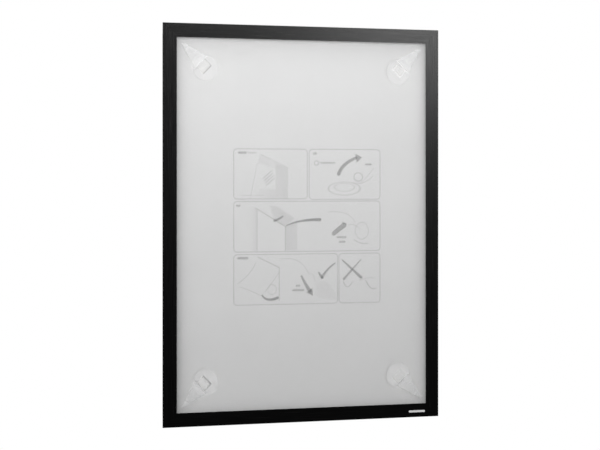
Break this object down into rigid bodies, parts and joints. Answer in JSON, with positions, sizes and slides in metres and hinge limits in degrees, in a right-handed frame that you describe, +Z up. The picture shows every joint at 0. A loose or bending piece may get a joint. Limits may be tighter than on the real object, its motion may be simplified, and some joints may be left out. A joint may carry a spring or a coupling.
{
  "type": "magnetic wall poster frame",
  "caption": "Flat wall frame for one A3 sheet: a magnetic window front hinged on the left edge of a panel held by removable corner pads.",
  "frame": {"origin": "centre of the frame, on the wall plane that the four wall pads are glued to", "axes": "+Z up the frame's height, +X towards the viewer's right, +Y into the wall; the front faces -Y"},
  "size_m": [0.3253, 0.0041, 0.445],
  "materials": {
    "black_film": "satin",
    "magnet_rubber": "matt",
    "matt_window": "anti-glare matt, see-through",
    "panel_plastic": "frosted",
    "clear_film": "printed film",
    "pad_plastic": "semi-gloss",
    "glue_film": "soft, tacky",
    "tab_film": "smooth film"
  },
  "bodies": {
    "rear": {"rear_panel": "panel_plastic", "rear_strip_top": "magnet_rubber", "rear_strip_bottom": "magnet_rubber", "rear_strip_left": "magnet_rubber", "rear_strip_right": "magnet_rubber", "instruction_label": "clear_film", "hinge_leaf_rear": "black_film", "hinge_fold": "black_film", "wall_disc_top_left": "pad_plastic", "wall_glue_top_left": "glue_film", "release_pad_top_left": "glue_film", "tab_root_top_left": "tab_film", "wall_disc_top_right": "pad_plastic", "wall_glue_top_right": "glue_film", "release_pad_top_right": "glue_film", "tab_root_top_right": "tab_film", "wall_disc_bottom_left": "pad_plastic", "wall_glue_bottom_left": "glue_film", "release_pad_bottom_left": "glue_film", "tab_root_bottom_left": "tab_film", "wall_disc_bottom_right": "pad_plastic", "wall_glue_bottom_right": "glue_film", "release_pad_bottom_right": "glue_film", "tab_root_bottom_right": "tab_film"},
    "front": {"window_sheet": "matt_window", "border_film": "black_film", "front_magnet_top": "magnet_rubber", "front_magnet_bottom": "magnet_rubber", "front_magnet_left": "magnet_rubber", "front_magnet_right": "magnet_rubber", "hinge_leaf_front": "black_film"},
    "tab_top_left": {"pull_tab_top_left": "tab_film"},
    "tab_top_right": {"pull_tab_top_right": "tab_film"},
    "tab_bottom_left": {"pull_tab_bottom_left": "tab_film"},
    "tab_bottom_right": {"pull_tab_bottom_right": "tab_film"}
  },
  "joints": [
    {"name": "front_hinge", "type": "hinge", "parent": "rear", "child": "front", "pos_m": [-0.1625, -0.00275, 0], "axis": [0, 0, -1], "range_deg": [0, 180]},
    {"name": "tab_lift_top_left", "type": "hinge", "parent": "rear", "child": "tab_top_left", "pos_m": [-0.1197, -0.0022, 0.1797], "axis": [0.7071, 0, 0.7071], "range_deg": [0, 36]},
    {"name": "tab_lift_top_right", "type": "hinge", "parent": "rear", "child": "tab_top_right", "pos_m": [0.1197, -0.0022, 0.1797], "axis": [0.7071, 0, -0.7071], "range_deg": [0, 36]},
    {"name": "tab_lift_bottom_left", "type": "hinge", "parent": "rear", "child": "tab_bottom_left", "pos_m": [-0.1197, -0.0022, -0.1797], "axis": [-0.7071, 0, 0.7071], "range_deg": [0, 36]},
    {"name": "tab_lift_bottom_right", "type": "hinge", "parent": "rear", "child": "tab_bottom_right", "pos_m": [0.1197, -0.0022, -0.1797], "axis": [-0.7071, 0, -0.7071], "range_deg": [0, 36]}
  ],
  "couplings": [
    {"joint": "tab_lift_top_left", "follows": "front_hinge", "ratio": 0.2},
    {"joint": "tab_lift_top_right", "follows": "front_hinge", "ratio": 0.2},
    {"joint": "tab_lift_bottom_left", "follows": "front_hinge", "ratio": 0.2},
    {"joint": "tab_lift_bottom_right", "follows": "front_hinge", "ratio": 0.2}
  ]
}
